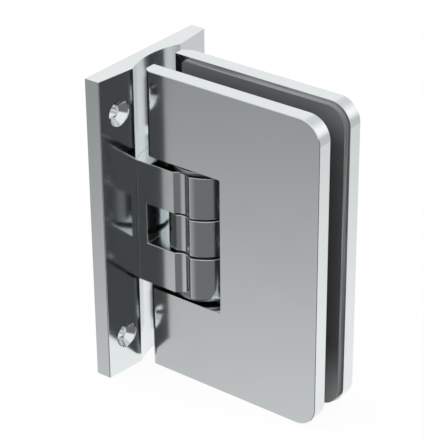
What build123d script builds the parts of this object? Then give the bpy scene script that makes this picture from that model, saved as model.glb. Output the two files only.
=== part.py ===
from build123d import *
import os

os.makedirs("parts", exist_ok=True)

# Shower-door hinge, wall to glass, opening both ways.
# Frame: the origin is the centre of the wall plate's back face. +X points out of the
# wall along the closed door, +Y runs along the wall and +Z is up. Millimetres.

# ---- Wall plate --------------------------------------------------------------
plate_height = 90.0           # wall plate and clamp plates alike
wall_width = 44.5
wall_edge_thickness = 4.55    # at the outer ends of the two wings
lip_thickness = 5.9           # where the wings meet the groove
groove_floor = 3.6            # metal left in the middle of the groove
lip_radius = 0.5
edge_break = 0.3              # rounding at the ends of the wings and on the caps
fine_break = 0.15             # edges of the fork, the knuckle and the clamp plates
wall_screw_bore = 4.2
wall_screw_head = 7.5
wall_screw_spacing_y = 31.0
wall_screw_inset = 11.0       # top or bottom of the wall plate to the nearest screws

# ---- Fork, the fixed half of the knuckle ---------------------------------------
pin_offset = 21.75            # wall face to the pin's axis
barrel_radius = 9.7
fork_height = 36.8
fork_side_gap = 0.3           # groove lip to the fork's flank
seat_floor = 3.0              # wall plate thickness left under the fork
seat_clearance = 0.05
slot_height = 12.2
slot_back_gap = 2.7           # door knuckle to the slot's floor, open to view
flute_radius = 3.4
flute_depth = 1.2
flute_offset = 0.75           # flute's centre lies this far to the wall side of the pin
flute_blend = 0.7

# ---- Pin, bushes and washers ---------------------------------------------------
pin_radius = 4.0
pin_clearance = 0.05          # radial, pin to bush
bush_wall = 1.2
bush_length = 5.0
bush_chamfer = 0.3
washer_inset = 1.3            # barrel's side to the thrust washers' rims
lower_washer_thickness = 0.8
upper_washer_thickness = 0.5
thrust_gap = 0.05
cap_inset = 0.4               # barrel's side to the caps' rims
cap_thickness = 0.9
cap_washer_inset = 0.3        # upper cap's rim to the rim of the black washer under it
cap_washer_thickness = 0.6
cap_spigot_length = 1.4       # in the fork
cap_spigot_gap = 0.3          # spigot's end to the pin's end
pin_chamfer = 0.5

# ---- Clamp plates --------------------------------------------------------------
wall_gap = 2.6                # groove lip to the near end of the clamp plates
clamp_width = 56.0
clamp_thickness = 4.5
clamp_corner_radius = 6.2
front_nose_run = 2.2          # rounding of the near end, along the plate
front_nose_drop = 1.7         # and across its thickness
rear_nose_run = 4.8
rear_nose_drop = 1.9
notch_gap_x = 1.85            # barrel to the notch's end
notch_gap_z = 0.3             # upper cap to the notch's long side
notch_corner_radius = 0.5

# ---- Glass and gaskets ---------------------------------------------------------
glass_thickness = 6.0
gasket_thickness = 1.0
rear_gasket_inset = 0.5       # plate edge to gasket edge
front_gasket_inset = 1.0
gasket_near_inset = 3.7       # near end of the plates to the gaskets' near end
gasket_near_radius = 1.0
cutout_gap = 0.6              # core block to the cut-out in the gaskets
cutout_radius = 3.0

# ---- Door knuckle --------------------------------------------------------------
knuckle_back_rise = 0.35      # side towards the wall, proud of the barrel
cheek_start = 2.9             # pin's axis to the flutes' edges, where the cheeks start
cheek_inset = 0.5             # fork's side to the cheeks at their start
cheek_taper = 1.6             # more at the slot's side
block_gap = 0.3               # core block's near face to the notch's end
block_height = 38.0
block_margin = 6.0            # clamp screw axis to the block's far face
block_corner_radius = 2.5

# ---- Screws --------------------------------------------------------------------
screw_radius = 2.5
screw_head_radius = 4.8
screw_rim = 0.2               # straight rim above the countersunk cone
screw_sink = 0.1              # head's face below the surface
screw_hole_gap = 0.25         # radial, in clearance holes
socket_across_flats = 3.0
socket_depth = 1.6
tip_chamfer = 0.5
clamp_screw_length = 16.0
clamp_screw_x = 40.0
block_screw_z = 11.0
glass_screw_inset = 16.0      # top or bottom of the clamp plates to the outer screws
fork_screw_length = 12.0
tap_run_out = 0.6             # tapped hole past the screw's tip
sleeve_wall = 1.2
sleeve_gap = 0.1              # sleeve to screw and sleeve to gasket

# ---- Sizes that follow from the ones above -------------------------------------
half_height = plate_height / 2
groove_half_width = barrel_radius + fork_side_gap
wall_screw_spacing_z = plate_height - 2 * wall_screw_inset
glass_screw_z = half_height - glass_screw_inset
knuckle_back_radius = barrel_radius + knuckle_back_rise
slot_floor = pin_offset - knuckle_back_radius - slot_back_gap
flute_x = pin_offset - flute_offset
flute_y = barrel_radius + flute_radius - flute_depth
arm_height = (fork_height - slot_height) / 2
arm_middle = slot_height / 2 + arm_height / 2
cheek_half_width = barrel_radius - cheek_inset
cheek_end_half_width = cheek_half_width - cheek_taper
washer_radius = barrel_radius - washer_inset
cap_radius = barrel_radius - cap_inset
cap_washer_radius = cap_radius - cap_washer_inset

near_end = lip_thickness + wall_gap
far_end = near_end + clamp_width
notch_end = pin_offset + barrel_radius + notch_gap_x
notch_half_height = fork_height / 2 + cap_washer_thickness + cap_thickness + notch_gap_z
clamp_gap = glass_thickness + 3 * gasket_thickness
inner_face = clamp_gap / 2
outer_face = inner_face + clamp_thickness

knuckle_bottom = -slot_height / 2 + lower_washer_thickness + thrust_gap
knuckle_top = slot_height / 2 - upper_washer_thickness - thrust_gap
knuckle_height = knuckle_top - knuckle_bottom
bush_radius = pin_radius + pin_clearance + bush_wall
block_start = notch_end - block_gap
block_end = clamp_screw_x + block_margin
pin_length = fork_height - 2 * (cap_spigot_length + cap_spigot_gap)

screw_hole_radius = screw_radius + screw_hole_gap
sink_radius = screw_head_radius + screw_rim + screw_sink
head_cone_height = screw_head_radius - screw_radius
clamp_tap_depth = clamp_screw_length + screw_sink - clamp_thickness - clamp_gap + tap_run_out
fork_tap_depth = fork_screw_length + screw_sink - seat_floor + tap_run_out
sleeve_radius = screw_radius + sleeve_gap + sleeve_wall


def wing_thickness(y):
    """Thickness of a wing at a distance y from the middle of the wall plate."""
    share = (wall_width / 2 - y) / (wall_width / 2 - groove_half_width)
    return wall_edge_thickness + share * (lip_thickness - wall_edge_thickness)


def barrel_flutes():
    """Cut the flute of both sides of the barrel out of the sketch in hand."""
    with Locations((flute_x, flute_y), (flute_x, -flute_y)):
        Circle(flute_radius, mode=Mode.SUBTRACT)


def blend_flutes(part):
    """Round the flutes' far edges into the barrel."""
    uprights = part.edges().filter_by(Axis.Z)
    far_edges = [
        edge
        for edge in uprights
        if pin_offset < edge.center().X < pin_offset + flute_radius and abs(edge.center().Y) > inner_face
    ]
    fillet(far_edges, flute_blend)


def clamp_outline():
    """Sketch of a clamp plate seen from the front, with its free corners rounded."""
    with BuildSketch() as outline:
        with Locations((near_end, 0)):
            Rectangle(clamp_width, plate_height, align=(Align.MIN, Align.CENTER))
        fillet(outline.vertices().group_by(Axis.X)[-1], clamp_corner_radius)
    return outline.sketch


def barrel_notch():
    """Sketch of the notch that a clamp plate has for the barrel."""
    with BuildSketch() as notch:
        with Locations((near_end - notch_corner_radius, 0)):
            RectangleRounded(
                notch_end - near_end + notch_corner_radius,
                2 * notch_half_height,
                notch_corner_radius,
                align=(Align.MIN, Align.CENTER),
            )
    return notch.sketch


def nose_cut(side, run, drop):
    """Plan of what is taken off the outer corner of a clamp plate's near end."""
    nose_start = (near_end + run, side * outer_face)
    nose_end = (near_end, side * (outer_face - drop))
    with BuildSketch() as plan:
        with BuildLine():
            TangentArc(nose_start, nose_end, tangent=(-1, 0))
            Polyline(nose_end, (near_end, side * outer_face), nose_start)
        make_face()
    return plan.sketch


def countersunk_screw(head_plane, length):
    """Countersunk socket screw whose head's face lies in head_plane."""
    top = (Align.CENTER, Align.CENTER, Align.MAX)
    with BuildPart(head_plane) as screw:
        Cylinder(screw_radius, length, align=top)
        Cylinder(screw_head_radius, screw_rim, align=top)
        with Locations((0, 0, -screw_rim)):
            Cone(screw_radius, screw_head_radius, head_cone_height, align=top)
        with BuildSketch(head_plane):
            RegularPolygon(socket_across_flats / 2, 6, major_radius=False)
        extrude(amount=-socket_depth, mode=Mode.SUBTRACT)
        tip = screw.edges().sort_by(Axis(head_plane.origin, head_plane.z_dir))[0]
        chamfer(tip, tip_chamfer)
    return screw.part


# ---- Wall plate: two tapered wings either side of a hollow groove ----------------
with BuildPart() as wall_plate:
    with BuildSketch(Plane.XY.offset(-half_height)):
        with BuildLine():
            Polyline(
                (lip_thickness, groove_half_width),
                (wall_edge_thickness, wall_width / 2),
                (0, wall_width / 2),
                (0, -wall_width / 2),
                (wall_edge_thickness, -wall_width / 2),
                (lip_thickness, -groove_half_width),
            )
            ThreePointArc(
                (lip_thickness, -groove_half_width),
                (groove_floor, 0),
                (lip_thickness, groove_half_width),
            )
        make_face()
    extrude(amount=plate_height)
    fillet(wall_plate.edges().filter_by(Axis.Z).group_by(Axis.X)[-1], lip_radius)
    wing_ends = wall_plate.edges().filter_by(Axis.Z).filter_by_position(
        Axis.X, wall_edge_thickness - edge_break, wall_edge_thickness + edge_break
    )
    fillet(wing_ends, edge_break)
    # Seat for the fork, milled through the groove.
    with BuildSketch(Plane.YZ.offset(seat_floor)):
        Rectangle(2 * (barrel_radius + seat_clearance), fork_height + 2 * seat_clearance)
    extrude(amount=lip_thickness, mode=Mode.SUBTRACT)
    # Countersunk holes for the wall screws, four in the wings.
    with Locations(Plane.YZ.offset(wing_thickness(wall_screw_spacing_y / 2))):
        with GridLocations(wall_screw_spacing_y, wall_screw_spacing_z, 2, 2):
            CounterSinkHole(wall_screw_bore / 2, wall_screw_head / 2)
    # Countersunk holes in the back face for the two fork screws.
    with Locations(Plane(origin=(0, 0, 0), x_dir=(0, 1, 0), z_dir=(-1, 0, 0))):
        with GridLocations(0, 2 * arm_middle, 1, 2):
            CounterSinkHole(screw_hole_radius, sink_radius)
wall_plate.part.label = "wall_plate"
export_step(wall_plate.part, "parts/wall_plate.step")

# ---- Fork: block and two barrels, cut through for the door knuckle ----------------
with BuildPart() as wall_fork:
    with BuildSketch(Plane.XY.offset(-fork_height / 2)):
        with BuildLine():
            Polyline(
                (pin_offset, barrel_radius),
                (seat_floor, barrel_radius),
                (seat_floor, -barrel_radius),
                (pin_offset, -barrel_radius),
            )
            ThreePointArc(
                (pin_offset, -barrel_radius),
                (pin_offset + barrel_radius, 0),
                (pin_offset, barrel_radius),
            )
        make_face()
        barrel_flutes()
    extrude(amount=fork_height)
    blend_flutes(wall_fork)
    ends = wall_fork.faces().filter_by(Axis.Z)
    fillet(ends.edges().filter_by_position(Axis.X, lip_thickness, far_end), fine_break)
    # Slot for the door knuckle, open at the front.
    with BuildSketch(Plane.XZ.offset(-2 * barrel_radius)):
        with Locations((slot_floor, 0)):
            Rectangle(far_end, slot_height, align=(Align.MIN, Align.CENTER))
    extrude(amount=4 * barrel_radius, mode=Mode.SUBTRACT)
    mouth = wall_fork.edges().filter_by_position(Axis.Z, -slot_height / 2, slot_height / 2)
    fillet(mouth.filter_by_position(Axis.X, lip_thickness, far_end), fine_break)
    with Locations((pin_offset, 0, fork_height / 2)):
        Hole(pin_radius)
    with BuildSketch(Plane.YZ.offset(seat_floor)):
        with GridLocations(0, 2 * arm_middle, 1, 2):
            Circle(screw_radius)
    extrude(amount=fork_tap_depth, mode=Mode.SUBTRACT)
wall_fork.part.label = "wall_fork"
export_step(wall_fork.part, "parts/wall_fork.step")

# ---- Pin, pressed into both arms of the fork ---------------------------------------
with BuildPart() as hinge_pin:
    with Locations((pin_offset, 0, 0)):
        Cylinder(pin_radius, pin_length)
    chamfer(hinge_pin.edges().filter_by(GeomType.CIRCLE), pin_chamfer)
hinge_pin.part.label = "hinge_pin"
export_step(hinge_pin.part, "parts/hinge_pin.step")

# ---- Caps that close the pin's bore, the upper one on a washer ----------------------
for name, side, lift in (("pin_cap_upper", 1, cap_washer_thickness), ("pin_cap_lower", -1, 0)):
    cap_plane = Plane((pin_offset, 0, side * (fork_height / 2 + lift)), z_dir=(0, 0, side))
    with BuildPart(cap_plane) as pin_cap:
        Cylinder(cap_radius, cap_thickness, align=(Align.CENTER, Align.CENTER, Align.MIN))
        Cylinder(pin_radius, cap_spigot_length + lift, align=(Align.CENTER, Align.CENTER, Align.MAX))
        rim = pin_cap.edges().sort_by(Axis(cap_plane.origin, cap_plane.z_dir))[-1]
        fillet(rim, edge_break)
    pin_cap.part.label = name
    export_step(pin_cap.part, f"parts/{name}.step")

# ---- Thrust washers either side of the door knuckle, and the upper cap's washer -----
thrust_bore = pin_radius + pin_clearance
for name, height, thickness, radius, bore in (
    ("cap_washer", fork_height / 2, cap_washer_thickness, cap_washer_radius, pin_radius),
    (
        "thrust_washer_upper",
        slot_height / 2 - upper_washer_thickness,
        upper_washer_thickness,
        washer_radius,
        thrust_bore,
    ),
    ("thrust_washer_lower", -slot_height / 2, lower_washer_thickness, washer_radius, thrust_bore),
):
    with BuildPart() as washer:
        with BuildSketch(Plane.XY.offset(height)):
            with Locations((pin_offset, 0)):
                Circle(radius)
                Circle(bore, mode=Mode.SUBTRACT)
        extrude(amount=thickness)
    washer.part.label = name
    export_step(washer.part, f"parts/{name}.step")

# ---- Door knuckle: barrel, neck and core block in one casting ----------------------
with BuildPart() as door_knuckle:
    with BuildSketch(Plane.XY.offset(knuckle_bottom)):
        with Locations((pin_offset, 0)):
            Circle(knuckle_back_radius)
        with BuildLine():
            Polyline(
                (pin_offset - cheek_start, cheek_half_width),
                (pin_offset - knuckle_back_radius, cheek_end_half_width),
                (pin_offset - knuckle_back_radius, -cheek_end_half_width),
                (pin_offset - cheek_start, -cheek_half_width),
                close=True,
            )
        make_face(mode=Mode.INTERSECT)
        with Locations((pin_offset, 0)):
            Circle(barrel_radius)
            Rectangle(block_start - pin_offset, clamp_gap, align=(Align.MIN, Align.CENTER))
        barrel_flutes()
    extrude(amount=knuckle_height)
    blend_flutes(door_knuckle)
    ends = door_knuckle.faces().filter_by(Axis.Z)
    fillet(ends.edges().filter_by_position(Axis.X, slot_floor, block_start - edge_break), fine_break)
    with BuildSketch(Plane.XZ.offset(-inner_face)):
        with Locations(((block_start + block_end) / 2, 0)):
            RectangleRounded(block_end - block_start, block_height, block_corner_radius)
    extrude(amount=clamp_gap)
    with Locations((pin_offset, 0, knuckle_top)):
        Hole(bush_radius)
    with Locations(Plane.XZ.offset(inner_face)):
        with Locations((clamp_screw_x, block_screw_z), (clamp_screw_x, -block_screw_z)):
            Hole(screw_hole_radius)
door_knuckle.part.label = "door_knuckle"
export_step(door_knuckle.part, "parts/door_knuckle.step")

# ---- Bushes, pressed into the door knuckle from both ends --------------------------
for name, height in (
    ("bush_upper", knuckle_top - bush_length),
    ("bush_lower", knuckle_bottom),
):
    with BuildPart() as bush:
        with BuildSketch(Plane.XY.offset(height)):
            with Locations((pin_offset, 0)):
                Circle(bush_radius)
                Circle(pin_radius + pin_clearance, mode=Mode.SUBTRACT)
        extrude(amount=bush_length)
        mouths = bush.edges().filter_by(GeomType.CIRCLE).group_by(SortBy.RADIUS)[-1]
        chamfer(mouths, bush_chamfer)
    bush.part.label = name
    export_step(bush.part, f"parts/{name}.step")

# ---- Front clamp plate: plain outside, tapped blind from the inside ----------------
screw_places = [(clamp_screw_x, z) for z in (-glass_screw_z, -block_screw_z, block_screw_z, glass_screw_z)]

with BuildPart() as front_plate:
    with BuildSketch(Plane.XZ.offset(inner_face)):
        add(clamp_outline())
    extrude(amount=clamp_thickness)
    show_edges = front_plate.faces().sort_by(Axis.Y)[0].edges()
    chamfer(show_edges.sort_by(Axis.X)[1:], fine_break)
    with BuildSketch(Plane.XZ.offset(inner_face)):
        add(barrel_notch())
    extrude(amount=clamp_thickness, mode=Mode.SUBTRACT)
    with BuildSketch(Plane.XY.offset(-half_height)):
        add(nose_cut(-1, front_nose_run, front_nose_drop))
    extrude(amount=plate_height, mode=Mode.SUBTRACT)
    with BuildSketch(Plane.XZ.offset(inner_face)):
        with Locations(*screw_places):
            Circle(screw_radius)
    extrude(amount=clamp_tap_depth, mode=Mode.SUBTRACT)
front_plate.part.label = "front_plate"
export_step(front_plate.part, "parts/front_plate.step")

# ---- Rear clamp plate: countersunk for the four clamp screws -----------------------
with BuildPart() as rear_plate:
    with BuildSketch(Plane.XZ.offset(-outer_face)):
        add(clamp_outline())
    extrude(amount=clamp_thickness)
    show_edges = rear_plate.faces().sort_by(Axis.Y)[-1].edges()
    chamfer(show_edges.sort_by(Axis.X)[1:], fine_break)
    with BuildSketch(Plane.XZ.offset(-outer_face)):
        add(barrel_notch())
    extrude(amount=clamp_thickness, mode=Mode.SUBTRACT)
    with BuildSketch(Plane.XY.offset(-half_height)):
        add(nose_cut(1, rear_nose_run, rear_nose_drop))
    extrude(amount=plate_height, mode=Mode.SUBTRACT)
    with Locations(Plane(origin=(0, outer_face, 0), x_dir=(1, 0, 0), z_dir=(0, 1, 0))):
        with Locations(*screw_places):
            CounterSinkHole(screw_hole_radius, sink_radius)
rear_plate.part.label = "rear_plate"
export_step(rear_plate.part, "parts/rear_plate.step")

# ---- Gasket sheets: one on the front plate, two on the rear plate ------------------
for name, face, inset in (
    ("front_gasket", -inner_face + gasket_thickness, front_gasket_inset),
    ("rear_gasket_inner", inner_face - gasket_thickness, rear_gasket_inset),
    ("rear_gasket_outer", inner_face, rear_gasket_inset),
):
    gasket_start = near_end + gasket_near_inset
    gasket_end = far_end - inset
    with BuildPart() as gasket:
        with BuildSketch(Plane.XZ.offset(-face)):
            with Locations(((gasket_start + gasket_end) / 2, 0)):
                Rectangle(gasket_end - gasket_start, plate_height - 2 * inset)
            outer_corners = vertices().group_by(Axis.X)[-1]
            fillet(outer_corners, clamp_corner_radius - inset)
            cutout_end = block_end + cutout_gap
            with Locations(((gasket_start + cutout_end) / 2 - cutout_radius, 0)):
                RectangleRounded(
                    cutout_end - gasket_start + 2 * cutout_radius,
                    2 * notch_half_height,
                    cutout_radius,
                    mode=Mode.SUBTRACT,
                )
            with Locations((clamp_screw_x, glass_screw_z), (clamp_screw_x, -glass_screw_z)):
                Circle(sleeve_radius + sleeve_gap, mode=Mode.SUBTRACT)
        extrude(amount=gasket_thickness)
        near_edges = gasket.edges().filter_by(Axis.Y).group_by(Axis.X)[0]
        fillet(near_edges.group_by(Axis.Z)[0] + near_edges.group_by(Axis.Z)[-1], gasket_near_radius)
    gasket.part.label = name
    export_step(gasket.part, f"parts/{name}.step")

# ---- Fork screws, driven from the back of the wall plate ---------------------------
for name, z in (("fork_screw_upper", arm_middle), ("fork_screw_lower", -arm_middle)):
    fork_screw = countersunk_screw(Plane((screw_sink, 0, z), z_dir=(-1, 0, 0)), fork_screw_length)
    fork_screw.label = name
    export_step(fork_screw, f"parts/{name}.step")

# ---- Clamp screws, driven from the rear plate --------------------------------------
for name, z in (
    ("block_screw_upper", block_screw_z),
    ("block_screw_lower", -block_screw_z),
    ("glass_screw_upper", glass_screw_z),
    ("glass_screw_lower", -glass_screw_z),
):
    head = Plane((clamp_screw_x, outer_face - screw_sink, z), z_dir=(0, 1, 0))
    clamp_screw = countersunk_screw(head, clamp_screw_length)
    clamp_screw.label = name
    export_step(clamp_screw, f"parts/{name}.step")

# ---- Sleeves that keep the two glass screws off the glass --------------------------
for name, z in (("glass_sleeve_upper", glass_screw_z), ("glass_sleeve_lower", -glass_screw_z)):
    with BuildPart() as glass_sleeve:
        with BuildSketch(Plane.XZ.offset(-inner_face)):
            with Locations((clamp_screw_x, z)):
                Circle(sleeve_radius)
                Circle(screw_radius + sleeve_gap, mode=Mode.SUBTRACT)
        extrude(amount=clamp_gap)
    glass_sleeve.part.label = name
    export_step(glass_sleeve.part, f"parts/{name}.step")
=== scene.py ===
"""Finishes, fasteners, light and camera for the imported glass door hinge.

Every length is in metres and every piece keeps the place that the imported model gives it.
"""

import logging
import math
from dataclasses import dataclass, field
from enum import Enum

import bpy
import numpy as np
from mathutils import Matrix, Vector


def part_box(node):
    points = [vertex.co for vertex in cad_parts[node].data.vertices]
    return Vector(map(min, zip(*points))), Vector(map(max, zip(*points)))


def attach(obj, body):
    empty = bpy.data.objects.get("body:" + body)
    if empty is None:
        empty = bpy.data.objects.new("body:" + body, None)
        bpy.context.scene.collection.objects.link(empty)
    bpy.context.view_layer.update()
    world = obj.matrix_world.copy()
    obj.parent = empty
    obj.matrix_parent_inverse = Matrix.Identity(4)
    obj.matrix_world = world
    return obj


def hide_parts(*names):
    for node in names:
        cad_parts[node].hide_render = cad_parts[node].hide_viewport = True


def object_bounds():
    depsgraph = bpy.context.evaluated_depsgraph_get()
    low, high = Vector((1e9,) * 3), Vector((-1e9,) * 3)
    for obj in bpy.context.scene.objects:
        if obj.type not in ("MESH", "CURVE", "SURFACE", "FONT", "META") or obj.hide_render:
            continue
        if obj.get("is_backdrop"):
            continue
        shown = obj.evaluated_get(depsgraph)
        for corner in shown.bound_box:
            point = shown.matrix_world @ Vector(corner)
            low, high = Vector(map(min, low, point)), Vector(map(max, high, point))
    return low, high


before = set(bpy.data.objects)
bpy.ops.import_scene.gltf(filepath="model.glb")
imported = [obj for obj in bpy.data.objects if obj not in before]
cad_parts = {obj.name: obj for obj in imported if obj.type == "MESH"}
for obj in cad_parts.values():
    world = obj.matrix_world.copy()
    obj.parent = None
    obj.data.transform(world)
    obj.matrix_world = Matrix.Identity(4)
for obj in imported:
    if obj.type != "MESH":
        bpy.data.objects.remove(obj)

LOG = logging.getLogger("hinge")
MM = 0.001
SMOOTH_LIMIT = math.radians(32.0)
DEGREES_PER_RADIAN = 180.0 / math.pi

Colour = tuple[float, float, float]
Span = tuple[float, float]
Sockets = dict[str | int, object]
Faces = list[tuple[int, ...]]

WHITE: Colour = (1.0, 1.0, 1.0)


# ---- Shader maths ----------------------------------------------------------------


class Sock:
    """A node's output on which sums are written as plain Python."""

    def __init__(self, graph: "Graph", out: bpy.types.NodeSocket) -> None:
        """Keep the graph that the maths nodes are added to, and the output itself."""
        self.graph = graph
        self.out = out

    def beside(self, name: str) -> "Sock":
        """Return another output of the same node, by its name."""
        return Sock(self.graph, self.out.node.outputs[name])

    def _maths(self, operation: str, *values: "Sock | float") -> "Sock":
        """Add one Math node.

        Args:
            operation: The Math node's operation.
            values: What goes into its sockets, in order.

        Returns:
            The node's result.
        """
        sockets = dict(enumerate(values))
        return self.graph.node("ShaderNodeMath", {"operation": operation}, sockets)

    def __add__(self, other: "Sock | float") -> "Sock":
        """Return the sum."""
        return self._maths("ADD", self, other)

    __radd__ = __add__

    def __sub__(self, other: "Sock | float") -> "Sock":
        """Return self less other."""
        return self._maths("SUBTRACT", self, other)

    def __rsub__(self, other: "Sock | float") -> "Sock":
        """Return other less self."""
        return self._maths("SUBTRACT", other, self)

    def __mul__(self, other: "Sock | float") -> "Sock":
        """Return the product."""
        return self._maths("MULTIPLY", self, other)

    __rmul__ = __mul__

    def at_least(self, other: "Sock | float") -> "Sock":
        """Return the larger of the two."""
        return self._maths("MAXIMUM", self, other)

    def at_most(self, other: "Sock | float") -> "Sock":
        """Return the smaller of the two."""
        return self._maths("MINIMUM", self, other)

    def ramp(self, low: float, high: float, to_low: float = 0.0, to_high: float = 1.0) -> "Sock":
        """Carry the range low to high smoothly over to another range.

        Args:
            low: Value that becomes to_low.
            high: Value that becomes to_high.
            to_low: Result at low and before it.
            to_high: Result at high and past it.

        Returns:
            The eased value.
        """
        settings = {"interpolation_type": "SMOOTHSTEP"}
        sockets = {
            "Value": self,
            "From Min": low,
            "From Max": high,
            "To Min": to_low,
            "To Max": to_high,
        }
        return self.graph.node("ShaderNodeMapRange", settings, sockets)


class Graph:
    """The node tree of one material or of the world."""

    def __init__(self, tree: bpy.types.NodeTree) -> None:
        """Empty the tree that the nodes are added to."""
        tree.nodes.clear()
        self.tree = tree

    def node(
        self,
        kind: str,
        settings: dict[str, object] | None = None,
        sockets: Sockets | None = None,
        out: str | int = 0,
    ) -> Sock:
        """Add a node, set it, and fill its sockets.

        Args:
            kind: The node's type.
            settings: Properties that are set before any socket is used.
            sockets: Values or links by the name or number of the socket.
            out: Name or number of the output to hand back.

        Returns:
            That output.
        """
        made = self.tree.nodes.new(kind)
        for name, value in (settings or {}).items():
            setattr(made, name, value)
        for name, value in (sockets or {}).items():
            if isinstance(value, Sock):
                self.tree.links.new(value.out, made.inputs[name])
            else:
                made.inputs[name].default_value = value
        return Sock(self, made.outputs[out] if made.outputs else None)

    def place(self) -> Sock:
        """Return the Object coordinates."""
        return self.node("ShaderNodeTexCoord", out="Object")

    def stretched(self, place: Sock, scale: tuple[float, float, float]) -> Sock:
        """Return the place with each axis multiplied by its own scale."""
        sockets = {"Vector": place, "Scale": scale}
        return self.node("ShaderNodeMapping", {"vector_type": "POINT"}, sockets)

    def along(self, vector: Sock, direction: tuple[float, float, float]) -> Sock:
        """Return the dot product of a vector and a fixed direction."""
        sockets = {0: vector, 1: direction}
        return self.node("ShaderNodeVectorMath", {"operation": "DOT_PRODUCT"}, sockets, "Value")

    def degrees(self, operation: str, *values: Sock) -> Sock:
        """Return the angle that an operation such as ARCSINE gives, in degrees."""
        angle = self.node("ShaderNodeMath", {"operation": operation}, dict(enumerate(values)))
        return angle * DEGREES_PER_RADIAN

    def noise(self, place: Sock, scale: float, detail: float = 2.0, share: float = 0.5) -> Sock:
        """Return a value from 0 to 1, with scale clouds per metre and finer layers by share."""
        sockets = {"Vector": place, "Scale": scale, "Detail": detail, "Roughness": share}
        return self.node("ShaderNodeTexNoise", {"noise_dimensions": "3D"}, sockets)

    def blend(self, share: Sock | float, first: "Colour | Sock", second: "Colour | Sock") -> Sock:
        """Return a colour between first and second, by share."""
        sockets = {0: share, 6: self.colour(first), 7: self.colour(second)}
        return self.node("ShaderNodeMix", {"data_type": "RGBA"}, sockets, out=2)

    def bump(self, height: Sock, reach: float, strength: float) -> Sock:
        """Return a normal tilted by a height of 0 to 1, which is reach metres, by strength."""
        sockets = {"Height": height, "Distance": reach, "Strength": strength}
        return self.node("ShaderNodeBump", None, sockets)

    @staticmethod
    def colour(value: "Colour | Sock") -> "tuple[float, ...] | Sock":
        """Return the colour with full alpha, or the link as it is."""
        return value if isinstance(value, Sock) else (*value, 1.0)


# ---- Finishes --------------------------------------------------------------------


@dataclass(frozen=True)
class Finish:
    """What all finishes share: a name and a way to make the material once."""

    name: str

    def material(self) -> bpy.types.Material:
        """Make the material of this finish on first use, and find it after that.

        Returns:
            The material.
        """
        made = bpy.data.materials.get(self.name)
        if made is None:
            made = bpy.data.materials.new(self.name)
            made.use_nodes = True
            graph = Graph(made.node_tree)
            surface = graph.node("ShaderNodeBsdfPrincipled", None, self.sockets(graph))
            graph.node("ShaderNodeOutputMaterial", None, {"Surface": surface})
        return made

    def sockets(self, graph: Graph) -> Sockets:
        """Return what goes into the Principled shader."""
        raise NotImplementedError


@dataclass(frozen=True)
class PolishedChrome(Finish):
    """Bright plating over polished brass, with faint clouds and polishing lines."""

    tone: Colour = (0.774, 0.810, 0.816)
    cloud_tone: Colour = (0.756, 0.793, 0.800)
    clouds_per_metre: float = 55.0
    cloud_edges: Span = (0.42, 0.72)
    lines_per_metre: float = 5200.0
    line_squeeze: float = 0.04
    line_height: float = 2e-7
    line_strength: float = 0.25
    mirror: float = 0.128
    haze: float = 0.04

    def sockets(self, graph: Graph) -> Sockets:
        """Blend the clouds and run the lines up the hinge.

        Args:
            graph: The material's nodes.

        Returns:
            Values and links by the name of the socket.
        """
        place = graph.place()
        clouds = graph.noise(place, self.clouds_per_metre, detail=3.0, share=0.55)
        upright = graph.stretched(place, (1.0, 1.0, self.line_squeeze))
        lines = graph.noise(upright, self.lines_per_metre, share=0.6)
        smears = clouds.ramp(*self.cloud_edges)
        roughness = smears * lines * self.haze + self.mirror
        return {
            "Base Color": graph.blend(smears, self.tone, self.cloud_tone),
            "Metallic": 1.0,
            "Roughness": roughness,
            "Normal": graph.bump(lines, self.line_height, self.line_strength),
        }


@dataclass(frozen=True)
class ChromeWithPaintedEndShade(PolishedChrome):
    """The same plating on the fork, whose flat ends carry painted shade: black round the caps."""

    end_height: Span = (18.36 * MM, 18.38 * MM)
    off_the_wall: Span = (10.2 * MM, 11.0 * MM)
    # black of the painted shade on the fork's flat ends
    painted_shade_tone: Colour = (0.02, 0.021, 0.022)

    def sockets(self, graph: Graph) -> Sockets:
        """Paint shade in black on both ends beyond a line that runs along the wall.

        Args:
            graph: The material's nodes.

        Returns:
            Values and links by the name of the socket.
        """
        sockets = super().sockets(graph)
        away = graph.node("ShaderNodeSeparateXYZ", None, {0: graph.place()}, out="X")
        height = away.beside("Z")
        low, high = self.end_height
        end = height.ramp(low, high) + height.ramp(-low, -high)
        # painted shade: both flat ends turn black from about 10.2 to 11 mm off the wall outwards,
        # where shade falls round the caps
        painted_shade = end * away.ramp(*self.off_the_wall)
        sockets["Base Color"] = graph.blend(painted_shade, sockets["Base Color"], self.painted_shade_tone)
        return sockets


@dataclass(frozen=True)
class TurnedSteel(Finish):
    """Plain steel with fine turning marks and dull patches."""

    tone: Colour = (0.50, 0.50, 0.49)
    dull_tone: Colour = (0.36, 0.365, 0.37)
    patches_per_metre: float = 420.0
    patch_edges: Span = (0.35, 0.7)
    patch_haze: float = 0.12
    marks_per_metre: float = 9000.0
    mark_haze: float = 0.16
    mark_height: float = 3e-6
    mark_strength: float = 0.3
    polish: float = 0.14

    def sockets(self, graph: Graph) -> Sockets:
        """Lay dull patches and turning marks over the steel.

        Args:
            graph: The material's nodes.

        Returns:
            Values and links by the name of the socket.
        """
        place = graph.place()
        patches = graph.noise(place, self.patches_per_metre, detail=4.0, share=0.6)
        marks = graph.noise(place, self.marks_per_metre)
        dull = patches.ramp(*self.patch_edges)
        return {
            "Base Color": graph.blend(dull, self.tone, self.dull_tone),
            "Metallic": 1.0,
            "Roughness": marks * self.mark_haze + patches * self.patch_haze + self.polish,
            "Normal": graph.bump(marks, self.mark_height, self.mark_strength),
        }


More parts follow.
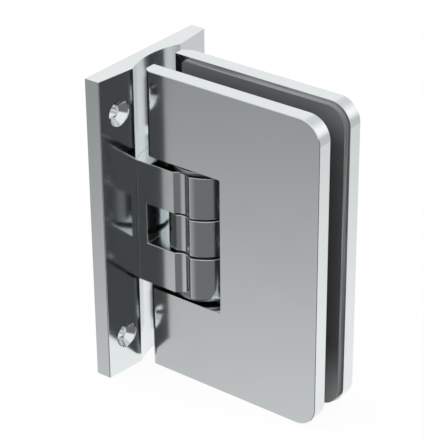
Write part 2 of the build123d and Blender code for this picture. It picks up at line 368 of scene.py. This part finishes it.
@dataclass(frozen=True)
class FibreSheet(Finish):
    """Dark gasket sheet: a grained face paled towards both ends by painted light, and paler cut
    edges that show its layers.
    """

    tone: Colour = (0.088, 0.090, 0.092)
    speck_tone: Colour = (0.122, 0.126, 0.129)
    layer_tone: Colour = (0.105, 0.112, 0.115)
    edge_tone: Colour = (0.205, 0.217, 0.222)
    # pale tone of the painted light at both ends of the gasket faces
    painted_light_tone: Colour = (0.34, 0.35, 0.355)
    grain_per_metre: float = 5200.0
    grain_edges: Span = (0.44, 0.68)
    grain_haze: float = 0.25
    grain_height: float = 4e-5
    grain_strength: float = 0.5
    layers_per_metre: float = 2600.0
    layer_edges: Span = (0.38, 0.6)
    layer_squeeze: float = 0.02
    cut_edges: Span = (0.7, 0.3)
    upper_painted_light: Span = (33.0 * MM, 44.0 * MM)
    upper_painted_light_share: float = 0.4
    lower_painted_light: Span = (-24.0 * MM, -43.0 * MM)
    dryness: float = 0.55
    shine: float = 0.35

    def sockets(self, graph: Graph) -> Sockets:
        """Tell faces from cut edges by their normal, and pale the faces towards both ends with
        painted light.

        Args:
            graph: The material's nodes.

        Returns:
            Values and links by the name of the socket.
        """
        place = graph.place()
        across = graph.along(graph.node("ShaderNodeTexCoord", out="Normal"), (0, 1, 0))
        cut = (across * across).ramp(*self.cut_edges)
        grain = graph.noise(place, self.grain_per_metre, detail=4.0, share=0.65)
        flat = graph.stretched(place, (self.layer_squeeze, 1.0, self.layer_squeeze))
        layers = graph.noise(flat, self.layers_per_metre)
        # painted light: the faces turn paler towards the top and the bottom, where light falls on
        # them
        height = graph.node("ShaderNodeSeparateXYZ", None, {0: place}, out="Z")
        upper = height.ramp(*self.upper_painted_light, 0.0, self.upper_painted_light_share)
        wear_and_painted_light = upper + height.ramp(*self.lower_painted_light)
        face = graph.blend(grain.ramp(*self.grain_edges), self.tone, self.speck_tone)
        face = graph.blend(wear_and_painted_light, face, self.painted_light_tone)
        edge = graph.blend(layers.ramp(*self.layer_edges), self.layer_tone, self.edge_tone)
        return {
            "Base Color": graph.blend(cut, face, edge),
            "Roughness": grain * self.grain_haze + self.dryness,
            "Normal": graph.bump(grain, self.grain_height, self.grain_strength),
            "Specular IOR Level": self.shine,
        }


@dataclass(frozen=True)
class MouldedPlastic(Finish):
    """Turned or moulded engineering plastic with a soft satin grain."""

    tone: Colour = (0.7, 0.69, 0.65)
    grain_per_metre: float = 3600.0
    grain_haze: float = 0.2
    grain_height: float = 2e-5
    grain_strength: float = 0.35
    shades_per_metre: float = 240.0
    shade_edges: Span = (0.35, 0.75)
    worn_gain: float = 1.12
    worn_lift: float = 0.01
    roughness: float = 0.38

    def sockets(self, graph: Graph) -> Sockets:
        """Let the plastic pale in soft shades under a fine grain.

        Args:
            graph: The material's nodes.

        Returns:
            Values and links by the name of the socket.
        """
        place = graph.place()
        grain = graph.noise(place, self.grain_per_metre, detail=3.0, share=0.6)
        shades = graph.noise(place, self.shades_per_metre)
        wear_and_painted_light = tuple(min(1.0, part * self.worn_gain + self.worn_lift) for part in self.tone)
        return {
            "Base Color": graph.blend(shades.ramp(*self.shade_edges), self.tone, wear_and_painted_light),
            "Roughness": grain * self.grain_haze + self.roughness,
            "Normal": graph.bump(grain, self.grain_height, self.grain_strength),
        }


class Slot(Enum):
    """The record's material slots, and two more for the fork and its satin caps."""

    CHROME = "chrome_plate"
    FORK = "fork_plate"
    CAP = "satin_cap"
    SCREW = "steel_screw"
    PIN = "steel_pin"
    WASHER = "black_washer"
    BUSH = "bush_plastic"
    GASKET = "gasket_sheet"
    SLEEVE = "sleeve_plastic"


FINISHES: dict[Slot, Finish] = {
    Slot.CHROME: PolishedChrome("polished_chrome"),
    # the fork's finish carries painted shade, black on its flat ends
    Slot.FORK: ChromeWithPaintedEndShade("fork_chrome_painted_shade"),
    Slot.CAP: TurnedSteel("cap_steel", tone=(0.34, 0.342, 0.35), dull_tone=(0.28, 0.283, 0.29)),
    Slot.SCREW: TurnedSteel("screw_steel"),
    Slot.PIN: TurnedSteel("pin_steel", tone=(0.56, 0.56, 0.55), marks_per_metre=6000.0),
    Slot.WASHER: MouldedPlastic("washer_acetal", tone=(0.012, 0.012, 0.013), roughness=0.45),
    Slot.BUSH: MouldedPlastic("bush_acetal", tone=(0.66, 0.65, 0.60)),
    Slot.GASKET: FibreSheet("gasket_fibre"),
    Slot.SLEEVE: MouldedPlastic("sleeve_nylon", tone=(0.72, 0.71, 0.66), roughness=0.5),
}


# ---- Mesh helpers ----------------------------------------------------------------


def closed_sleeve(rings: np.ndarray) -> tuple[np.ndarray, Faces]:
    """Skin a stack of rings and close both ends with flat caps.

    Ring i, point j is joined to ring i + 1 and to point j + 1, and the last point of a ring
    to its first.

    Args:
        rings: Points as an array of shape (rings, points, 3).

    Returns:
        The points as rows, and the faces by row number.
    """
    count, around, _ = rings.shape
    numbers = np.arange(count * around).reshape(count, around)
    after = np.roll(numbers, -1, axis=1)
    quads = np.stack([numbers[:-1], after[:-1], after[1:], numbers[1:]], axis=-1).reshape(-1, 4)
    faces = [tuple(quad) for quad in quads.tolist()]
    faces.append(tuple(numbers[0][::-1].tolist()))
    faces.append(tuple(numbers[-1].tolist()))
    return rings.reshape(-1, 3), faces


def outward(points: np.ndarray, faces: Faces) -> Faces:
    """Turn all faces over if the closed shape is inside out.

    The sum of corner a dot (b cross c) over the first triangle of each face is positive for
    a shape about its own middle whose faces point outwards.

    Args:
        points: Corners of the shape.
        faces: Faces by corner number.

    Returns:
        The faces, all pointing outwards.
    """
    corners = np.array([face[:3] for face in faces])
    middle = points.mean(0)
    a, b, c = (points[corners[:, k]] - middle for k in range(3))
    volume = float(np.einsum("ij,ij->i", a, np.cross(b, c)).sum())
    return faces if volume > 0 else [face[::-1] for face in faces]


def mesh_piece(name: str, points: np.ndarray, faces: Faces, slot: Slot) -> bpy.types.Object:
    """Make a closed piece whose object sits at the origin.

    Args:
        name: The piece's name.
        points: Corners in the hinge's frame.
        faces: Faces by corner number.
        slot: Material slot that it takes its finish from.

    Returns:
        The new object.
    """
    mesh = bpy.data.meshes.new(name)
    mesh.from_pydata(points.tolist(), [], outward(points, faces))
    mesh.polygons.foreach_set("use_smooth", np.ones(len(mesh.polygons), bool))
    mesh.set_sharp_from_angle(angle=SMOOTH_LIMIT)
    mesh.materials.append(FINISHES[slot].material())
    piece = bpy.data.objects.new(name, mesh)
    bpy.context.scene.collection.objects.link(piece)
    return piece


def dress(node: str, slot: Slot) -> None:
    """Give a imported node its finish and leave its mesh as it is.

    Args:
        node: The node's name.
        slot: Slot whose finish it takes.
    """
    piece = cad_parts[node]
    if not piece.material_slots:
        piece.data.materials.append(None)
    for holder in piece.material_slots:
        holder.material = FINISHES[slot].material()
    LOG.info("%s dressed in %s", node, FINISHES[slot].name)


# ---- Fasteners -------------------------------------------------------------------


@dataclass
class CountersunkScrew:
    """Countersunk socket screw with a rolled thread, in place of a plain packed one."""

    node: str
    body: str
    side: Vector
    radius: float = 2.5 * MM
    head_radius: float = 4.8 * MM
    rim: float = 0.2 * MM
    pitch: float = 0.8 * MM
    thread_depth: float = 0.42 * MM
    plain_shank: float = 1.0 * MM
    socket_apothem: float = 1.5 * MM
    socket_depth: float = 1.6 * MM
    drill_depth: float = 0.35 * MM
    drill_share: float = 0.25
    floor_share: float = 0.98
    mouth: float = 0.15 * MM
    face_edge: float = 0.25 * MM
    head_round: Span = (0.02 * MM, 0.1 * MM)
    neck_round: Span = (0.15 * MM, 0.1 * MM)
    tip: float = 0.5 * MM
    around: int = 48
    steps_per_turn: int = 8

    def seat(self) -> tuple[np.ndarray, np.ndarray, float]:
        """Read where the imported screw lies.

        Returns:
            The middle of its head's face, the direction that face looks in, and its length.
        """
        low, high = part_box(self.node)
        middle = (low + high) / 2
        length = abs((high - low).dot(self.side))
        return np.array(middle + self.side * length / 2), np.array(self.side), length

    def stations(self, length: float) -> np.ndarray:
        """List the rings from the socket's floor, over the head and down to the tip.

        Args:
            length: Whole length of the screw.

        Returns:
            Rows of depth below the head's face, radius, share of hexagon and share of thread.
        """
        cone_end = self.rim + self.head_radius - self.radius
        floor, mouth, flat = self.socket_depth, self.mouth, self.socket_apothem
        (drop, lip), (above, below) = self.head_round, self.neck_round
        thread_start = cone_end + self.plain_shank
        thread_end = length - self.tip
        turns = (thread_end - thread_start) / self.pitch
        depths = np.linspace(thread_start, thread_end, int(turns * self.steps_per_turn) + 1)
        full = np.clip(np.minimum(depths - thread_start, thread_end - depths) / self.pitch, 0, 1)
        radii, plain = np.full_like(depths, self.radius), np.zeros_like(depths)
        thread = np.stack([depths, radii, plain, full], 1)
        head = [
            (floor + self.drill_depth, self.drill_share * flat, 0, 0),
            (floor, self.floor_share * flat, 1, 0),
            (floor, flat, 1, 0),
            (mouth, flat, 1, 0),
            (0.0, flat + mouth, 1, 0),
            (0.0, self.head_radius - self.face_edge, 0, 0),
            (drop, self.head_radius - lip, 0, 0),
            (lip, self.head_radius, 0, 0),
            (self.rim, self.head_radius, 0, 0),
            (cone_end - above, self.radius + above, 0, 0),
            (cone_end + below, self.radius, 0, 0),
        ]
        end = [(length, self.radius - self.tip, 0, 0)]
        return np.vstack([head, thread, end])

    def rings(self, length: float) -> np.ndarray:
        """Work out the surface over the angle round the axis and the station along it.

        The radius is the station's own, or the hexagon's, which is its apothem over the
        cosine of the angle from the middle of the nearest flat. The thread takes away its
        depth times a triangle wave of depth over pitch less angle over a full turn.

        Args:
            length: Whole length of the screw.

        Returns:
            Points about the axis, in shape (stations, around, 3), with the head's face at 0.
        """
        depth, radius, hexagon, thread = (column[:, None] for column in self.stations(length).T)
        angle = np.linspace(0, 2 * math.pi, self.around, endpoint=False)[None, :]
        sixth = math.pi / 3
        flat = np.mod(angle, sixth) - sixth / 2
        reach = radius * (1 - hexagon + hexagon / np.cos(flat))
        phase = np.mod(depth / self.pitch - angle / (2 * math.pi), 1.0)
        groove = 1 - np.abs(2 * phase - 1)
        reach = reach - thread * self.thread_depth * groove
        heights = np.broadcast_to(-depth, reach.shape)
        return np.stack([reach * np.cos(angle), reach * np.sin(angle), heights], axis=-1)

    def build(self) -> bpy.types.Object:
        """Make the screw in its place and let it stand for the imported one.

        Returns:
            The threaded screw.
        """
        head, side, length = self.seat()
        across = np.array([0.0, 0.0, 1.0])
        turn = np.stack([across, np.cross(side, across), side])
        points, faces = closed_sleeve(self.rings(length) @ turn + head)
        piece = mesh_piece(f"threaded_{self.node}", points, faces, Slot.SCREW)
        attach(piece, self.body)
        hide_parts(self.node)
        LOG.info("%s threaded, %d faces", piece.name, len(faces))
        return piece


# ---- The two halves of the hinge -------------------------------------------------


@dataclass
class WallSide:
    """The half fixed to the wall: tapered plate, fork, pin, caps and washers."""

    body: str = "wall_side"
    finishes: dict[str, Slot] = field(
        default_factory=lambda: {
            "wall_plate": Slot.CHROME,
            "wall_fork": Slot.FORK,
            "pin_cap_upper": Slot.CAP,
            "pin_cap_lower": Slot.CAP,
            "hinge_pin": Slot.PIN,
            "thrust_washer_upper": Slot.WASHER,
            "thrust_washer_lower": Slot.WASHER,
            "cap_washer": Slot.WASHER,
        }
    )
    screws: tuple[str, ...] = ("fork_screw_upper", "fork_screw_lower")

    def build(self) -> None:
        """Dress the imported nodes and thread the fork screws."""
        for node, slot in self.finishes.items():
            dress(node, slot)
        for node in self.screws:
            CountersunkScrew(node, self.body, Vector((-1, 0, 0))).build()


@dataclass
class DoorSide:
    """The half clamped to the glass: knuckle, clamp plates, gaskets, bushes and sleeves."""

    body: str = "door_side"
    finishes: dict[str, Slot] = field(
        default_factory=lambda: {
            "door_knuckle": Slot.CHROME,
            "front_plate": Slot.CHROME,
            "rear_plate": Slot.CHROME,
            "front_gasket": Slot.GASKET,
            "rear_gasket_inner": Slot.GASKET,
            "rear_gasket_outer": Slot.GASKET,
            "bush_upper": Slot.BUSH,
            "bush_lower": Slot.BUSH,
            "glass_sleeve_upper": Slot.SLEEVE,
            "glass_sleeve_lower": Slot.SLEEVE,
        }
    )
    screws: tuple[str, ...] = (
        "block_screw_upper",
        "block_screw_lower",
        "glass_screw_upper",
        "glass_screw_lower",
    )

    def build(self) -> None:
        """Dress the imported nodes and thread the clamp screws."""
        for node, slot in self.finishes.items():
            dress(node, slot)
        for node in self.screws:
            CountersunkScrew(node, self.body, Vector((0, 1, 0))).build()


# ---- Studio ----------------------------------------------------------------------


def compass(azimuth: float, elevation: float) -> Vector:
    """Return the direction with that azimuth from +X and elevation, both in degrees."""
    turn, rise = math.radians(azimuth), math.radians(elevation)
    level = math.cos(rise)
    return Vector((math.cos(turn) * level, math.sin(turn) * level, math.sin(rise)))


@dataclass(frozen=True)
class Card:
    """A round card far off, seen only in reflections, that adds to or takes from the light."""

    azimuth: float
    elevation: float
    inner: float
    outer: float
    change: float

    def light(self, graph: Graph, ray: Sock) -> Sock:
        """Work out the change of light from the angle between a ray and the card's middle.

        Args:
            graph: The world's nodes.
            ray: Direction of the ray.

        Returns:
            All of the change inside the inner angle, and none outside the outer one.
        """
        centre = tuple(compass(self.azimuth, self.elevation))
        edges = (math.cos(math.radians(angle)) for angle in (self.outer, self.inner))
        return graph.along(ray, centre).ramp(*edges, 0.0, self.change)


@dataclass
class Studio:
    """White room with a dark flag on one side, a pale floor and two soft lamps.

    Angles are in degrees. A ray's depth is 1 from the camera and 2 after one reflection.
    """

    flag_light: float = 0.18
    flag_left: Span = (-84.0, -112.0)
    flag_right: Span = (-30.0, 25.0)
    near_side_light: float = 0.47
    far_side_light: float = 0.88
    side_blend: Span = (-0.5, 0.35)
    light_per_degree: float = 0.034
    far_floor_share: float = 0.72
    middle_depression: float = 28.5
    horizon_blend: Span = (-4.0, 10.0)
    sky_light: float = 0.98
    near_left: Span = (35.0, -10.0)
    near_right: Span = (150.0, 175.0)
    second_depth: Span = (2.0, 3.0)
    second_floor_share: float = 0.44
    third_depth: Span = (3.0, 4.0)
    third_floor_share: float = 0.15
    last_depth: Span = (5.0, 6.0)
    fill_light: float = 0.55
    cards: tuple[Card, ...] = (
        Card(azimuth=92.0, elevation=46.0, inner=4.0, outer=24.0, change=-0.20),
        Card(azimuth=50.0, elevation=24.0, inner=4.0, outer=16.0, change=0.18),
        Card(azimuth=-131.0, elevation=31.0, inner=6.0, outer=26.0, change=-0.42),
    )
    floor_size: float = 4.0
    floor_gap: float = 0.1 * MM
    floor_tone: Colour = (0.9, 0.9, 0.9)
    floor_glow: float = 0.95
    lamp_distance: float = 1.1

    def light_world(self) -> None:
        """Make the world: white to the camera, a studio to metal and a plain fill to the rest.

        Below the horizon the studio is a floor that brightens by one step for each degree
        down, and a dark flag stands between its left and right azimuths. Metal seen in
        metal shows the near side of the floor darker. From the third reflection all of the
        floor is darker still, and after four reflections the studio is gone.
        """
        world = bpy.data.worlds.new("studio")
        bpy.context.scene.world = world
        world.use_nodes = True
        graph = Graph(world.node_tree)
        ray = graph.node("ShaderNodeTexCoord", out="Generated")
        x = graph.node("ShaderNodeSeparateXYZ", None, {0: ray}, out="X")
        y, z = x.beside("Y"), x.beside("Z")
        azimuth = graph.degrees("ARCTAN2", y, x)
        elevation = graph.degrees("ARCSINE", z)

        side = y.ramp(*self.side_blend, self.near_side_light, self.far_side_light)
        floor = side - (elevation + self.middle_depression) * self.light_per_degree
        floor = floor.at_least(side * self.far_floor_share).at_most(1.0)
        opening = azimuth.ramp(*self.flag_left) + azimuth.ramp(*self.flag_right)
        lower = (floor - self.flag_light) * opening + self.flag_light

        upper = sum(card.light(graph, ray) for card in self.cards) + self.sky_light
        horizon = elevation.ramp(*self.horizon_blend)

        glossy = graph.node("ShaderNodeLightPath", out="Is Glossy Ray")
        depth = glossy.beside("Ray Depth")
        near = azimuth.ramp(*self.near_left) + azimuth.ramp(*self.near_right)
        dimmed = depth.ramp(*self.second_depth) * near
        lower = lower * (1 - dimmed * (1 - self.second_floor_share))
        lower = lower * depth.ramp(*self.third_depth, 1.0, self.third_floor_share)
        room = lower * (1 - horizon) + upper * horizon
        room = room * depth.ramp(*self.last_depth, 1.0, 0.0)

        white = glossy.beside("Is Camera Ray").at_least(glossy.beside("Is Transmission Ray"))
        strength = white + (1 - white) * (glossy * room + (1 - glossy) * self.fill_light)
        sockets = {"Color": graph.colour(WHITE), "Strength": strength}
        shine = graph.node("ShaderNodeBackground", None, sockets)
        graph.node("ShaderNodeOutputWorld", None, {"Surface": shine})

    def lay_floor(self) -> None:
        """Lay the pale floor just under the hinge, clear from below.

        Its corners are half the floor's size times (-1, -1), (1, -1), (1, 1) and (-1, 1).
        """
        low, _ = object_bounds()
        corners = np.array([(-1, -1, 0), (1, -1, 0), (1, 1, 0), (-1, 1, 0)]) * self.floor_size / 2
        corners[:, 2] = low[2] - self.floor_gap
        mesh = bpy.data.meshes.new("floor")
        mesh.from_pydata(corners.tolist(), [], [(0, 1, 2, 3)])
        floor = bpy.data.objects.new("floor", mesh)
        bpy.context.scene.collection.objects.link(floor)
        floor.visible_glossy = False
        paint = bpy.data.materials.new("pale_floor")
        paint.use_nodes = True
        graph = Graph(paint.node_tree)
        tone = graph.colour(self.floor_tone)
        matt = graph.node("ShaderNodeBsdfDiffuse", None, {"Color": tone})
        glow = graph.node("ShaderNodeEmission", None, {"Strength": 1.0})
        share = graph.node("ShaderNodeLightPath", out="Is Camera Ray") * self.floor_glow
        shown = graph.node("ShaderNodeMixShader", None, {0: share, 1: matt, 2: glow})
        under = graph.node("ShaderNodeNewGeometry", out="Backfacing")
        clear = graph.node("ShaderNodeBsdfTransparent")
        surface = graph.node("ShaderNodeMixShader", None, {0: under, 1: shown, 2: clear})
        graph.node("ShaderNodeOutputMaterial", None, {"Surface": surface})
        mesh.materials.append(paint)
        floor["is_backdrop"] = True

    def hang_lamp(self, name: str, direction: Vector, size: float, power: float) -> None:
        """Hang a soft square lamp that looks at the hinge.

        Args:
            name: The lamp's name.
            direction: Unit vector from the hinge to the lamp.
            size: Its side.
            power: Its power in watts.
        """
        facing = direction.to_track_quat("Z", "Y").to_matrix().to_4x4()
        data = bpy.data.lights.new(name, "AREA")
        data.shape = "SQUARE"
        data.size = size
        data.energy = power
        lamp = bpy.data.objects.new(name, data)
        lamp.matrix_world = Matrix.Translation(direction * self.lamp_distance) @ facing
        lamp.visible_glossy = False
        bpy.context.scene.collection.objects.link(lamp)

    def build(self) -> None:
        """Set up the world, the floor and the lamps."""
        self.light_world()
        self.lay_floor()
        self.hang_lamp("key", compass(-150.0, 62.0), size=1.0, power=9.0)
        self.hang_lamp("rim", compass(35.0, 48.0), size=0.9, power=5.0)
        LOG.info("studio lit")


@dataclass
class Viewpoint:
    """The camera: where it stands, how it is turned in degrees, and its lens in millimetres."""

    azimuth: float = 37.854
    elevation: float = 28.549
    roll: float = -0.570
    place: Vector = field(default_factory=lambda: Vector((0.300668, -0.356353, 0.246516)))
    focal_length: float = 154.4353
    sensor: float = 36.0
    clip: Span = (0.01, 20.0)

    def build(self) -> None:
        """Stand the camera up and make it the scene's own."""
        roll = math.radians(self.roll)
        back = compass(self.azimuth - 90.0, self.elevation)
        right = (-back).cross(Vector((0, 0, 1))).normalized()
        up = right.cross(-back)
        axes = (
            right * math.cos(roll) + up * math.sin(roll),
            up * math.cos(roll) - right * math.sin(roll),
            back,
        )
        data = bpy.data.cameras.new("camera")
        data.sensor_width = self.sensor
        data.lens = self.focal_length
        data.clip_start, data.clip_end = self.clip
        data.dof.use_dof = False
        camera = bpy.data.objects.new("camera", data)
        camera.matrix_world = Matrix.Translation(self.place) @ Matrix(axes).transposed().to_4x4()
        bpy.context.scene.collection.objects.link(camera)
        bpy.context.scene.camera = camera
        LOG.info("camera placed")


# ---- Making it all ---------------------------------------------------------------


def main() -> None:
    """Build the camera, both halves of the hinge and the studio, in that order."""
    logging.basicConfig(level=logging.INFO, format="%(name)s: %(message)s")
    bpy.context.scene.view_settings.view_transform = "Standard"
    Viewpoint().build()
    WallSide().build()
    DoorSide().build()
    Studio().build()


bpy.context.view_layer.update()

if __name__ == "__main__":
    main()
